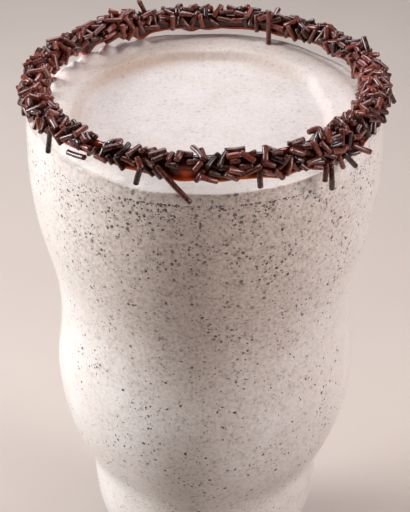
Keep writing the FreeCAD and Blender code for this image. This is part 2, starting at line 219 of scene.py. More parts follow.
def clear_glass():
    """Pressed soda-lime glass, fire polished: clear and smooth, with long faint waves.

    The eye gets a sharp rim light and a drink that seems to fill the glass to its outline."""
    material, tree, output = new_material("pressed_soda_lime_glass")
    place = add_node(tree, "TexCoord")
    waves = add_node(tree, "TexNoise", {
        "Vector": place.outputs["Object"], "Scale": 1 / (22 * MM), "Detail": 1.0})
    bump = add_node(tree, "Bump", {
        "Height": waves.outputs["Fac"], "Strength": 0.25, "Distance": 0.1 * MM})
    shader = add_node(tree, "BsdfPrincipled", {
        "Base Color": linear("#FAFCFB"), "Roughness": 0.01, "IOR": 1.5,
        "Transmission Weight": 1.0, "Normal": bump.outputs["Normal"]})
    clear = add_node(tree, "BsdfTransparent", {"Color": linear("#F6F8F7")})
    path = add_node(tree, "LightPath")
    both = add_node(tree, "MixShader", {
        0: path.outputs["Is Shadow Ray"], 1: shader.outputs["BSDF"], 2: clear.outputs["BSDF"]})
    tree.links.new(both.outputs[0], output.inputs["Surface"])
    return material


def speck_layer(tree, place, cell, share, size, softness):
    """Specks of one size in cells of the given width, both in metres. Returns their mask."""
    wobble = add_node(tree, "TexNoise", {
        "Vector": place, "Scale": 1 / (0.5 * size), "Detail": 1.0})
    bent = add_node(tree, "VectorMath", {
        0: wobble.outputs["Color"], 1: (0.55 * size, 0.55 * size, 0.55 * size), 2: place},
        operation="MULTIPLY_ADD")
    cells = add_node(tree, "TexVoronoi", {
        "Vector": bent.outputs[0], "Scale": 1 / cell, "Randomness": 1.0})
    pick = add_node(tree, "SeparateColor", {"Color": cells.outputs["Color"]})
    # Only a share of the cells hold a speck, and each speck has its own size.
    chosen = add_node(tree, "MapRange", {
        "Value": pick.outputs["Red"], "From Min": 1 - share, "From Max": 1.0,
        "To Min": 0.25 * size / cell, "To Max": size / cell}, clamp=False)
    edge = add_node(tree, "Math", {0: chosen.outputs[0], 1: cells.outputs["Distance"]},
                    operation="SUBTRACT")
    mask = add_node(tree, "MapRange", {
        "Value": edge.outputs[0], "From Min": 0.0, "From Max": softness * size / cell,
        "To Min": 0.0, "To Max": 1.0})
    return mask.outputs[0]


def milkshake_material(colours):
    """Blended milk, ice cream and crushed biscuit: thick, softly shining, cloudy with fine crumb.

    The eye gets a warm off-white with dark specks of every size that fade towards the foot."""
    material, tree, output = new_material("blended_milkshake")
    place = add_node(tree, "TexCoord").outputs["Object"]
    # How many specks show, painted on the mesh: most near the fill line, few on the surface.
    # The extra darkening in a band just below the fill line is painted shade under the rim.
    depth = add_node(tree, "Attribute", attribute_name="specks_and_painted_shade").outputs["Fac"]
    clouds = add_node(tree, "TexNoise", {
        "Vector": place, "Scale": 1 / (10 * MM), "Detail": 3.0, "Roughness": 0.6})
    cloud_share = add_node(tree, "MapRange", {
        "Value": clouds.outputs["Fac"], "From Min": 0.30, "From Max": 0.72,
        "To Min": 0.20, "To Max": 0.55})
    clumps = add_node(tree, "TexNoise", {
        "Vector": place, "Scale": 1 / (5 * MM), "Detail": 2.0, "Roughness": 0.6})
    clump_share = add_node(tree, "MapRange", {
        "Value": clumps.outputs["Fac"], "From Min": 0.38, "From Max": 0.56,
        "To Min": 0.18, "To Max": 1.0})
    dust = add_node(tree, "TexNoise", {
        "Vector": place, "Scale": 1 / (0.9 * MM), "Detail": 3.0, "Roughness": 0.7})
    dust_share = add_node(tree, "MapRange", {
        "Value": dust.outputs["Fac"], "From Min": 0.40, "From Max": 0.66,
        "To Min": 0.0, "To Max": 0.55})
    body = add_node(tree, "MixRGB", {
        "Fac": cloud_share.outputs[0], "Color1": linear(colours.milk),
        "Color2": linear(colours.milk_shade)})
    # Painted warm shade: the drink is tinted warmer and darker high on the front of its side and on
    # the bank round the sunk middle, most of all at the back.
    painted_shade = add_node(tree, "Attribute", attribute_name="painted_shade")
    with_painted_shade = add_node(tree, "MixRGB", {
        "Fac": painted_shade.outputs["Fac"], "Color1": body.outputs["Color"],
        "Color2": linear(colours.milk_painted_shade)})
    dust_amount = add_node(tree, "Math", {0: dust_share.outputs[0], 1: depth},
                           operation="MULTIPLY")
    dusty = add_node(tree, "MixRGB", {
        "Fac": dust_amount.outputs[0], "Color1": with_painted_shade.outputs["Color"],
        "Color2": linear(colours.milk_dust)})
    colour = dusty.outputs["Color"]
    density = add_node(tree, "Math", {0: clump_share.outputs[0], 1: depth},
                       operation="MULTIPLY").outputs[0]
    layers = (
        # cell, share of cells, size, softness, strength, colour
        (2.7 * MM, 0.60, 1.35 * MM, 0.9, 0.50, colours.crumb_light),
        (1.35 * MM, 0.74, 0.74 * MM, 0.8, 0.90, colours.crumb_dark),
        (0.85 * MM, 0.72, 0.42 * MM, 0.6, 0.72, colours.crumb_dark),
        (0.50 * MM, 0.60, 0.22 * MM, 0.6, 0.42, colours.crumb_light),
    )
    for cell, share, size, softness, strength, tint in layers:
        mask = speck_layer(tree, place, cell, share, size, softness)
        weight = add_node(tree, "Math", {0: mask, 1: density}, operation="MULTIPLY")
        amount = add_node(tree, "Math", {0: weight.outputs[0], 1: strength}, operation="MULTIPLY")
        colour = add_node(tree, "MixRGB", {
            "Fac": amount.outputs[0], "Color1": colour, "Color2": linear(tint)}).outputs["Color"]
    froth = add_node(tree, "TexNoise", {
        "Vector": place, "Scale": 1 / (1.4 * MM), "Detail": 3.0})
    bump = add_node(tree, "Bump", {
        "Height": froth.outputs["Fac"], "Strength": 0.35, "Distance": 0.25 * MM})
    shader = add_node(tree, "BsdfPrincipled", {
        "Base Color": colour, "Roughness": 0.50, "IOR": 1.35,
        "Subsurface Weight": 0.25, "Subsurface Radius": (1.0, 0.72, 0.58),
        "Subsurface Scale": 0.8 * MM, "Normal": bump.outputs["Normal"]})
    tree.links.new(shader.outputs["BSDF"], output.inputs["Surface"])
    return material


def crumb_material(colours):
    """Crushed dark cocoa biscuit, wet from the drink: nearly black to grey brown, matt."""
    material, tree, output = new_material("wet_cocoa_biscuit")
    place = add_node(tree, "TexCoord").outputs["Object"]
    shade = add_node(tree, "TexNoise", {"Vector": place, "Scale": 1 / (0.8 * MM), "Detail": 2.0})
    tint = add_node(tree, "ValToRGB", {"Fac": shade.outputs["Fac"]}, stops=(
        (0.30, linear(colours.crumb_dark)), (0.58, linear(colours.crumb_light))))
    shader = add_node(tree, "BsdfPrincipled", {
        "Base Color": tint.outputs["Color"], "Roughness": 0.6, "IOR": 1.45})
    tree.links.new(shader.outputs["BSDF"], output.inputs["Surface"])
    return material


def caramel_material(colours):
    """Boiled caramel sauce: clear amber that darkens where it is thick, with a wet gloss.

    The eye gets near-black brown under the strands and orange at the thin lower edge, partly the thin
    sauce's own colour and partly painted glow of light through it."""
    material, tree, output = new_material("caramel_sauce")
    thick = add_node(tree, "Attribute", attribute_name="thickness_and_painted_glow")
    place = add_node(tree, "TexCoord").outputs["Object"]
    cloud = add_node(tree, "TexNoise", {"Vector": place, "Scale": 1 / (3 * MM), "Detail": 2.0})
    spread = add_node(tree, "MapRange", {
        "Value": cloud.outputs["Fac"], "From Min": 0.3, "From Max": 0.7,
        "To Min": -0.12, "To Max": 0.12})
    share = add_node(tree, "Math", {0: thick.outputs["Fac"], 1: spread.outputs[0]},
                     operation="ADD", use_clamp=True)
    # The thin end of the ramp is partly thin caramel and partly painted glow; the BARE patches are
    # turned to it as painted glow.
    tint = add_node(tree, "ValToRGB", {"Fac": share.outputs[0]}, stops=(
        (0.05, linear(colours.caramel_thin)),
        (0.50, linear(colours.caramel_middle)),
        (0.80, linear(colours.caramel_thick))))
    shader = add_node(tree, "BsdfPrincipled", {
        "Base Color": tint.outputs["Color"], "Roughness": 0.06, "IOR": 1.47,
        "Transmission Weight": 0.55})
    clear = add_node(tree, "BsdfTransparent", {"Color": tint.outputs["Color"]})
    path = add_node(tree, "LightPath")
    both = add_node(tree, "MixShader", {
        0: path.outputs["Is Shadow Ray"], 1: shader.outputs["BSDF"], 2: clear.outputs["BSDF"]})
    tree.links.new(both.outputs[0], output.inputs["Surface"])
    return material


def chocolate_material(colours):
    """Extruded chocolate vermicelli: waxy, finely grained, rubbed and dusty in places.

    The eye gets dark red-brown sticks of slightly different shades, darker low in the heap as painted
    shade, with soft broad highlights."""
    material, tree, output = new_material("extruded_chocolate_strand")
    # The shade attribute is painted shade, darker low in the heap, with random differences.
    shade = add_node(tree, "Attribute", attribute_name="shade")
    tint = add_node(tree, "ValToRGB", {"Fac": shade.outputs["Fac"]}, stops=(
        (0.0, linear(colours.chocolate_dark)), (1.0, linear(colours.chocolate_light))))
    place = add_node(tree, "TexCoord").outputs["Object"]
    dust = add_node(tree, "TexNoise", {"Vector": place, "Scale": 1 / (0.7 * MM), "Detail": 3.0})
    dust_share = add_node(tree, "MapRange", {
        "Value": dust.outputs["Fac"], "From Min": 0.45, "From Max": 0.8,
        "To Min": 0.0, "To Max": 0.35})
    dusty = add_node(tree, "MixRGB", {
        "Fac": dust_share.outputs[0], "Color1": tint.outputs["Color"],
        "Color2": linear(colours.chocolate_dust)})
    grain = add_node(tree, "TexNoise", {"Vector": place, "Scale": 1 / (0.25 * MM), "Detail": 2.0})
    rough = add_node(tree, "MapRange", {
        "Value": dust.outputs["Fac"], "From Min": 0.3, "From Max": 0.7,
        "To Min": 0.20, "To Max": 0.36})
    bump = add_node(tree, "Bump", {
        "Height": grain.outputs["Fac"], "Strength": 0.5, "Distance": 0.06 * MM})
    shader = add_node(tree, "BsdfPrincipled", {
        "Base Color": dusty.outputs["Color"], "Roughness": rough.outputs[0], "IOR": 1.46,
        "Coat Weight": 0.55, "Coat Roughness": 0.18, "Coat IOR": 1.5,
        "Sheen Weight": 0.12, "Sheen Roughness": 0.35, "Sheen Tint": linear("#F0B8A8"),
        "Normal": bump.outputs["Normal"]})
    tree.links.new(shader.outputs["BSDF"], output.inputs["Surface"])
    return material


def stage_material(colours):
    """Matt painted board: plain and pale, with the faintest mottling."""
    material, tree, output = new_material("matt_painted_board")
    place = add_node(tree, "TexCoord").outputs["Object"]
    mottle = add_node(tree, "TexNoise", {"Vector": place, "Scale": 1 / (60 * MM), "Detail": 2.0})
    tint = add_node(tree, "MixRGB", {
        "Fac": mottle.outputs["Fac"], "Color1": linear(colours.floor),
        "Color2": linear(colours.floor_shade)})
    shader = add_node(tree, "BsdfPrincipled", {
        "Base Color": tint.outputs["Color"], "Roughness": 0.8})
    tree.links.new(shader.outputs["BSDF"], output.inputs["Surface"])
    return material


# Meshes --------------------------------------------------------------------------------------

def make_piece(name, points, faces, material, node=None, attributes=None):
    """A smooth mesh piece that rides on the glass and may stand for a CAD node."""
    mesh = bpy.data.meshes.new(name)
    mesh.from_pydata(np.asarray(points).tolist(), [], faces)
    mesh.validate()
    for key, values in (attributes or {}).items():
        layer = mesh.attributes.new(key, "FLOAT", "POINT")
        layer.data.foreach_set("value", np.asarray(values, dtype=np.float32))
    mesh.polygons.foreach_set("use_smooth", np.ones(len(mesh.polygons), dtype=bool))
    mesh.materials.append(material)
    piece = bpy.data.objects.new(name, mesh)
    bpy.context.scene.collection.objects.link(piece)
    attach(piece, "root")
    if node:
        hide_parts(node)
    return piece


def ring_faces(rows, columns, first=0, closed=False):
    """Quads between rows of points that each run once round. Rows may close on themselves."""
    faces = []
    for row in range(rows if closed else rows - 1):
        low = first + row * columns
        high = first + ((row + 1) % rows) * columns
        for k in range(columns):
            n = (k + 1) % columns
            faces.append((low + k, low + n, high + n, high + k))
    return faces


def fade(value, start, end):
    """Smooth step from 0 at start to 1 at end."""
    t = np.clip((value - start) / (end - start), 0.0, 1.0)
    return t * t * (3 - 2 * t)


def ripple(angle, waves, seed):
    """A wandering value between about -1 and 1 that closes on itself round the rim."""
    draw = np.random.default_rng(seed)
    total = np.zeros_like(np.asarray(angle, dtype=float))
    for wave in waves:
        total = total + np.sin(wave * angle + draw.uniform(0, 2 * math.pi)) * draw.uniform(0.6, 1.2)
    return total / math.sqrt(len(waves))


# Froth lumps where the drink meets the glass, at the back left: the angle round the glass in
# degrees, the distance in from the wall, the lump's radius and its height, in millimetres.
LUMPS = (
    (163, 1.5, 2.2, 1.8),
    (153, 2.8, 4.4, 1.0),
    (147, 1.4, 1.9, 1.4),
    (139, 2.0, 3.6, 1.7),
    (130, 1.5, 2.3, 2.0),
    (123, 2.6, 3.4, 1.2),
    (115, 1.6, 2.1, 1.0),
    (174, 2.4, 3.0, 0.9),
    (66, 2.2, 2.4, 0.35),
    (12, 2.0, 2.2, 0.3),
    (243, 1.8, 2.0, 0.3),
)


def surface_height(radius, angle, sizes):
    """Height of the drink's surface: a raised ring round a sunk middle, sloping to the back."""
    edge = FILL_RADIUS
    top = DRINK_HIGH - math.tan(sizes.slope) * edge
    start = sizes.dish_radius + 0.7 * MM * ripple(angle, (2, 3, 5, 9), 21)
    height = top + math.tan(sizes.slope) * radius * np.sin(angle)
    bank = start + sizes.dish_bank * (1 + 0.4 * ripple(angle, (1, 2, 4, 7), 23))
    height = height - sizes.dish_depth * (1 - fade(radius, start, bank))
    crown = np.clip((radius - bank) / (edge - bank), 0, 1)
    height = height + 0.35 * MM * np.sin(math.pi * crown) * fade(radius, start, bank)
    creep = 0.5 * MM * (1 + 0.5 * ripple(angle, (4, 9, 14), 5))
    height = height + creep * fade(radius, edge - 1.2 * MM, edge)
    swell = 0.16 * MM * ripple(angle, (2, 3, 5, 7), 11) * fade(radius, 8 * MM, edge)
    height = height + swell
    x = radius * np.cos(angle)
    y = radius * np.sin(angle)
    for degrees, inward, size, rise in LUMPS:
        turn = math.radians(degrees)
        away = edge - inward * MM
        far = np.hypot(x - away * math.cos(turn), y - away * math.sin(turn)) / (size * MM)
        dome = np.clip(1 - far * far, 0, 1) ** 1.2
        height = height + rise * MM * dome
    return height


class MILKSHAKE_OT_drink(bpy.types.Operator):
    """Builds the drink out to just inside the glass wall, with its sloping dished surface"""
    bl_idname = "milkshake.drink"
    bl_label = "Drink"

    def execute(self, context):
        sizes = context.scene.milkshake_sizes
        columns = 288
        surface_rows = 110
        angle = np.linspace(0, 2 * math.pi, columns, endpoint=False)
        rows = []
        # The bottom, out from the middle, then the side up to the surface, then back inwards.
        bottom = FLOOR - sizes.bite
        corner_low = float(inside_radius(FLOOR + CORNER))
        for share in (0.02, 0.35, 0.7, 0.9):
            radius = share * (corner_low - 0.55 * CORNER)
            rows.append((np.full(columns, radius), np.full(columns, bottom)))
        heights = np.concatenate((
            bottom + CORNER * (1 - np.cos(np.linspace(0.12, math.pi / 2, 9))),
            np.linspace(bottom + CORNER, 0.9 * RIM, 118)[1:]))
        for level in heights:
            radius = float(inside_radius(max(level, INSIDE[0][0]))) + sizes.bite
            if level < bottom + CORNER:
                ball = math.sqrt(max(CORNER ** 2 - (bottom + CORNER - level) ** 2, 0))
                radius = min(radius, corner_low - CORNER + ball + sizes.bite)
            rows.append((np.full(columns, radius), np.full(columns, level)))
        last = float(heights[-1])
        edge_height = surface_height(FILL_RADIUS, angle, sizes)
        for share in np.linspace(0, 1, 13)[1:]:
            level = last + share * (edge_height - last)
            rows.append((inside_radius(level) + sizes.bite, level))
        edge = inside_radius(edge_height)
        for share in 1 - np.linspace(0, 1, surface_rows + 1)[1:] ** 0.9:
            radius = share * edge if share > 0 else np.full(columns, 0.05 * MM)
            rows.append((radius, surface_height(radius, angle, sizes)))
        side = len(rows) - surface_rows
        points = []
        specks_and_painted_shade = []
        painted_shade = []
        bank = sizes.dish_radius + 0.5 * sizes.dish_bank
        for row, (radius, level) in enumerate(rows):
            points.append(np.stack((radius * np.cos(angle), radius * np.sin(angle), level), axis=1))
            below = (edge_height - level) / (edge_height - FLOOR)
            amount = 1.0 - 0.48 * fade(below, 0.12, 0.60)
            # The surface shows few specks, and the front shows more than the other sides.
            front = 0.26 + 0.74 * np.clip(-np.sin(angle), 0, 1) ** 2.0
            amount = amount * front if row < side else np.full(columns, 0.28)
            if row < side:
                # Painted warm shade on the front of the side, strongest high up.
                painted_shade.append(0.38 * np.clip((amount - 0.45) / 0.55, 0, 1))
                # Painted shade: a darker band just below the fill line, under the overhang of the rim.
                amount = amount + 0.22 * np.exp(-((edge_height - level) / (1.3 * MM)) ** 2)
            else:
                # On the surface the bank round the middle gets painted shade, most of all at the back.
                band = np.exp(-((radius - bank) / (0.75 * sizes.dish_bank)) ** 2)
                patches = np.clip(0.75 + 0.45 * ripple(angle, (3, 5, 8), 29), 0, 1)
                painted_shade.append(0.62 * band * patches * (
                    0.18 + 0.82 * np.clip(np.sin(angle - 0.5), 0, 1)))
            specks_and_painted_shade.append(amount)
        faces = ring_faces(len(rows), columns)
        faces.append(tuple(range(columns - 1, -1, -1)))
        top = (len(rows) - 1) * columns
        faces.append(tuple(range(top, top + columns)))
        material = milkshake_material(context.scene.milkshake_colours)
        make_piece("drink", np.concatenate(points), faces, material, "milkshake",
                   {"specks_and_painted_shade": np.concatenate(specks_and_painted_shade), "painted_shade": np.concatenate(painted_shade)})
        return {"FINISHED"}


class MILKSHAKE_OT_crumbs(bpy.types.Operator):
    """Sets biscuit crumbs in the drink's side and surface, just proud of it"""
    bl_idname = "milkshake.crumbs"
    bl_label = "Crumbs"

    def execute(self, context):
        sizes = context.scene.milkshake_sizes
        draw = np.random.default_rng(SEED + 1)
        points = []
        faces = []

        def add_flake(middle, normal, size):
            """An irregular flat flake with a low dome, turned to face along the normal."""
            side = np.cross(normal, UP if abs(normal[2]) < 0.9 else np.array((1.0, 0.0, 0.0)))
            side = side / np.linalg.norm(side)
            along = np.cross(normal, side)
            corners = int(draw.integers(6, 9))
            start = draw.uniform(0, 2 * math.pi)
            stretch = draw.uniform(0.55, 1.0)
            first = len(points)
            for k in range(corners):
                turn = 2 * math.pi * k / corners
                reach = size * draw.uniform(0.65, 1.15)
                a = reach * math.cos(turn)
                b = reach * math.sin(turn) * stretch
                u = a * math.cos(start) - b * math.sin(start)
                v = a * math.sin(start) + b * math.cos(start)
                points.append(middle + u * side + v * along - 0.10 * MM * normal)
                points.append(middle + 0.8 * (u * side + v * along) + 0.03 * MM * normal)
            points.append(middle + 0.05 * MM * normal)
            points.append(middle - 0.12 * MM * normal)
            crown = first + 2 * corners
            for k in range(corners):
                n = (k + 1) % corners
                low, high = first + 2 * k, first + 2 * k + 1
                low_next, high_next = first + 2 * n, first + 2 * n + 1
                faces.append((low, low_next, high_next, high))
                faces.append((high, high_next, crown))
                faces.append((low_next, low, crown + 1))

        def pick_place():
            """An angle and a height, more often at the front and near the fill line."""
            level = CRUMB_TOP - (CRUMB_TOP - CRUMB_FOOT) * draw.uniform(0, 1) ** 2.0
            turn = draw.uniform(0, 2 * math.pi)
            while draw.uniform() > 0.2 + 0.8 * max(0.0, -math.sin(turn)) ** 1.8:
                turn = draw.uniform(0, 2 * math.pi)
            return turn, level

        clumps = [pick_place() for _ in range(sizes.crumbs // 10)]
        for _ in range(sizes.crumbs):
            turn, level = pick_place()
            if draw.uniform() < 0.6:
                turn, level = clumps[int(draw.integers(len(clumps)))]
                turn = turn + draw.normal(0, 0.05)
                level = float(np.clip(level + draw.normal(0, 1.9 * MM), CRUMB_FOOT, CRUMB_TOP))
            radius = float(inside_radius(level)) + sizes.bite
            slope = float(inside_radius(level + MM) - inside_radius(level - MM)) / (2 * MM)
            normal = np.array((math.cos(turn), math.sin(turn), -slope))
            normal = normal / np.linalg.norm(normal)
            middle = np.array((radius * math.cos(turn), radius * math.sin(turn), level))
            add_flake(middle, normal, MM * min(0.60, 0.15 + draw.exponential(0.12)))
        for _ in range(sizes.crumbs // 40):
            turn = draw.uniform(0, 2 * math.pi)
            radius = FILL_RADIUS * 0.93 * math.sqrt(draw.uniform(0, 1))
            level = float(surface_height(radius, turn, sizes))
            middle = np.array((radius * math.cos(turn), radius * math.sin(turn), level))
            add_flake(middle, UP, MM * draw.uniform(0.08, 0.20))
        material = crumb_material(context.scene.milkshake_colours)
        make_piece("crumbs", points, faces, material)
        return {"FINISHED"}


# The caramel ---------------------------------------------------------------------------------

# How far the caramel reaches down from the rim, in millimetres, at angles round the glass:
# angle in degrees, reach outside, reach inside.
CARAMEL = (
    (0, 3.2, 3.6), (45, 3.5, 3.4), (90, 3.6, 3.6), (135, 3.4, 3.6), (180, 3.0, 3.8),
    (200, 3.0, 3.8), (215, 2.2, 3.6), (237, 2.8, 3.2), (255, 4.1, 3.0), (270, 4.8, 3.0),
    (285, 4.9, 3.0), (300, 5.1, 3.2), (312, 6.4, 3.4), (322, 6.0, 3.6), (340, 3.8, 3.8))

# Single drips: angle in degrees, extra reach and width in millimetres.
OUTSIDE_DRIPS = ((262, 0.5, 3.0), (292, 0.5, 2.6), (40, 1.2, 3.0), (95, 1.6, 2.6), (140, 0.9, 3.0))
INSIDE_DRIPS = ((115, 2.0, 2.2), (139, 1.6, 2.0), (88, 0.7, 3.0), (20, 0.8, 3.0), (205, 0.8, 3.0))


# Bare patches where the caramel shows, painted lighter there as a glow of light through it: angle
# in degrees, distance along the surface from the top of the rim, and half width, in millimetres.
BARE = (
    (264.5, 3.2, 1.8), (294.0, -0.4, 1.2), (303.0, -1.2, 1.1), (312.5, -0.4, 1.1), (236.0, -0.4, 1.2),
    (251.0, 4.0, 1.2), (281.0, 4.4, 1.1))


def by_angle(angle, table, column):
    """A column of a table of values round the glass, read at any angle in radians."""
    degrees = np.degrees(angle) % 360
    return np.interp(degrees, [row[0] for row in table], [row[column] for row in table], period=360)


def caramel_reach(angle, column, drips, seed):
    """How far the caramel reaches down at each angle, with its drips."""
    reach = by_angle(angle, CARAMEL, column) * MM + 0.22 * MM * ripple(angle, (9, 14, 23, 37), seed)
    for degrees, extra, width in drips:
        away = (angle - math.radians(degrees) + math.pi) % (2 * math.pi) - math.pi
        reach = reach + extra * MM * np.exp(-(away * RIM_MIDDLE / (width * MM)) ** 2)
    return reach


def bare_distance(turn, along, patch):
    """How far a place on the rim lies from a bare patch's middle, in metres."""
    round_rim = math.radians((math.degrees(turn) - patch[0] + 180) % 360 - 180) * RIM_MIDDLE
    return math.hypot(round_rim, along - patch[1] * MM)


def rim_path(along):
    """A place on the glass by its distance along the surface from the top of the rim.

    Outside is positive. Returns the radius, the height, and the normal's two parts."""
    half = WALL / 2
    crown = RIM - half
    quarter = half * math.pi / 2
    if along > quarter:
        height = crown - (along - quarter)
        return float(outside_radius(height)), height, 1.0, 0.08
    if along > -quarter:
        out, up = math.sin(along / half), math.cos(along / half)
        return RIM_MIDDLE + half * out, crown + half * up, out, up
    height = crown - (-along - quarter)
    return float(inside_radius(height)), height, -1.0, -0.08


# From a depth below the rim to the distance along the surface.
BEND = WALL / 2 * (math.pi / 2 - 1)


class MILKSHAKE_OT_caramel(bpy.types.Operator):
    """Lays the caramel film over the rim, uneven, with a bead at its edges and drips"""
    bl_idname = "milkshake.caramel"
    bl_label = "Caramel"

    def execute(self, context):
        sizes = context.scene.milkshake_sizes
        columns = 480
        rows = 34
        angle = np.linspace(0, 2 * math.pi, columns, endpoint=False)
        outer = caramel_reach(angle, 1, OUTSIDE_DRIPS, 31) + BEND
        inner = caramel_reach(angle, 2, INSIDE_DRIPS, 37) + BEND
        wander = ripple(angle, (7, 13, 21, 34), 41)
        points = np.empty((2 * rows, columns, 3))
        thickness_and_painted_glow = np.empty((2 * rows, columns))
        for k in range(columns):
            for row in range(rows):
                # Rows are closer together at the two edges, where the film rounds off.
                share = 0.5 - 0.5 * math.cos(math.pi * row / (rows - 1))
                along = outer[k] - share * (outer[k] + inner[k])
                radius, height, out, up = rim_path(along)
                from_edge = max(0.0, min(outer[k] - along, along + inner[k]))
                film = sizes.caramel_film * (1 + 0.25 * wander[k])
                film = film * math.sqrt(min(1.0, from_edge / (0.5 * MM)))
                film = film + 0.22 * MM * math.exp(-((from_edge - 0.7 * MM) / (0.45 * MM)) ** 2)
                film = film * min(1.0, from_edge / (0.12 * MM))
                bare_glow = max(math.exp(-(bare_distance(angle[k], along, spot) / (spot[2] * MM)) ** 2)
                           for spot in BARE)
                for side, offset in ((row, film), (2 * rows - 1 - row, -0.04 * MM)):
                    r = radius + offset * out
                    points[side, k] = (
                        r * math.cos(angle[k]), r * math.sin(angle[k]), height + offset * up)
                    # The colour lightens towards the film's edges, partly as thin caramel and partly
                    # as painted glow, and near the BARE patches wholly as painted glow, though the
                    # film is no thinner there.
                    thickness_and_painted_glow[side, k] = fade(from_edge, 0.0, 1.7 * MM) * (1 - 0.85 * bare_glow)
        material = caramel_material(context.scene.milkshake_colours)
        # The rows run from the outer edge over to the inner edge and back along the glass.
        make_piece("caramel_film", points.reshape(-1, 3), ring_faces(2 * rows, columns, closed=True),
                   material, "caramel", {"thickness_and_painted_glow": thickness_and_painted_glow.ravel()})
        return {"FINISHED"}


# The chocolate strands -----------------------------------------------------------------------

# Single strands that stand or hang clear of the heap: angle round the rim in degrees, distance
# along the surface from the top of the rim (outside is positive), lift above the caramel and
# length, in millimetres, and the direction it points: round the rim, down the side, outwards.
STRAYS = (
    (261.4, 5.6, 0.9, 10.8, (0.70, 0.68, 0.12)),
    (285.4, 5.0, 0.5, 4.2, (0.05, 1.0, 0.05)),
    (309.0, 9.0, 0.3, 6.0, (0.0, 1.0, 0.03)),
    (306.5, 7.2, 0.5, 4.2, (-0.1, 1.0, 0.0)),
    (316.0, 6.6, 0.8, 5.0, (0.55, 0.75, 0.20)),
    (321.0, 5.2, 1.0, 5.6, (0.80, 0.55, 0.45)),
    (251.0, 4.8, 0.4, 4.2, (-0.25, 1.0, 0.05)),
    (218.0, 4.0, 0.5, 5.4, (-0.05, 1.0, 0.05)),
    (230.5, 3.7, 0.6, 5.6, (1.0, -0.10, 0.08)),
    (64.0, -1.9, 1.2, 9.0, (0.03, 1.0, 0.0)),
    (113.0, 0.2, 1.6, 5.0, (0.45, -0.3, 0.9)),
    (279.0, -0.2, 0.5, 4.4, (1.0, 0.05, 0.05)),
    (203.0, -3.4, 1.4, 4.8, (0.75, -0.2, 0.55)),
    (347.0, -3.2, 1.6, 4.6, (0.35, -0.1, 0.9)),
    (20.0, 0.4, 1.1, 5.2, (0.7, -0.2, 0.6)),
    (352.0, 2.4, 0.7, 4.8, (0.3, 0.9, 0.25)),
)

# The heap's shape at angles round the glass: angle in degrees, then in millimetres how far the
# strands reach down outside and inside, and how high they pile outside and inside.
HEAP = (
    (0, 2.5, 3.0, 0.2, 2.2), (20, 2.5, 2.4, 0.3, 1.2), (45, 3.0, 2.2, 0.5, 0.9),
    (90, 3.0, 2.2, 0.6, 0.8), (114, 3.0, 2.3, 0.5, 0.9), (124, 3.2, 2.8, 1.8, 2.8),
    (135, 3.0, 2.4, 0.5, 1.0), (160, 3.0, 3.0, 0.5, 1.8), (180, 3.3, 3.2, 0.6, 2.0),
    (200, 3.3, 2.8, 0.6, 1.8), (215, 2.2, 1.8, 0.5, 1.2), (235, 2.7, 0.6, 0.6, 0.6),
    (255, 4.2, 0.0, 0.8, 0.5), (285, 4.8, 0.0, 0.9, 0.6), (300, 5.2, 0.8, 0.9, 0.9),
    (312, 6.6, 1.8, 1.0, 1.6), (330, 4.5, 2.6, 0.6, 2.0), (345, 3.4, 3.0, 0.3, 2.2),
)


def rim_axes(turn, along):
    """A place on the coated rim: its point, and the directions outwards, round and down."""
    radius, height, out, up = rim_path(along)
    level = np.array((math.cos(turn), math.sin(turn), 0.0))
    normal = out * level + up * UP
    normal = normal / np.linalg.norm(normal)
    around = np.array((-math.sin(turn), math.cos(turn), 0.0))
    down = np.cross(around, normal)
    return radius * level + height * UP, normal, around, down


def nearest_gap(start, end, starts, ends):
    """Shortest distance from one straight strand to each of many others."""
    d1 = end - start
    d2 = ends - starts
    r = start - starts
    a = d1 @ d1
    e = np.einsum("ij,ij->i", d2, d2)
    f = np.einsum("ij,ij->i", d2, r)
    c = r @ d1
    b = d2 @ d1
    denominator = np.maximum(a * e - b * b, 1e-18)
    s = np.clip((b * f - c * e) / denominator, 0, 1)
    t = np.clip((b * s + f) / e, 0, 1)
    s = np.clip((b * t - c) / a, 0, 1)
    gap = (start + s[:, None] * d1) - (starts + t[:, None] * d2)
    return np.sqrt(np.einsum("ij,ij->i", gap, gap))


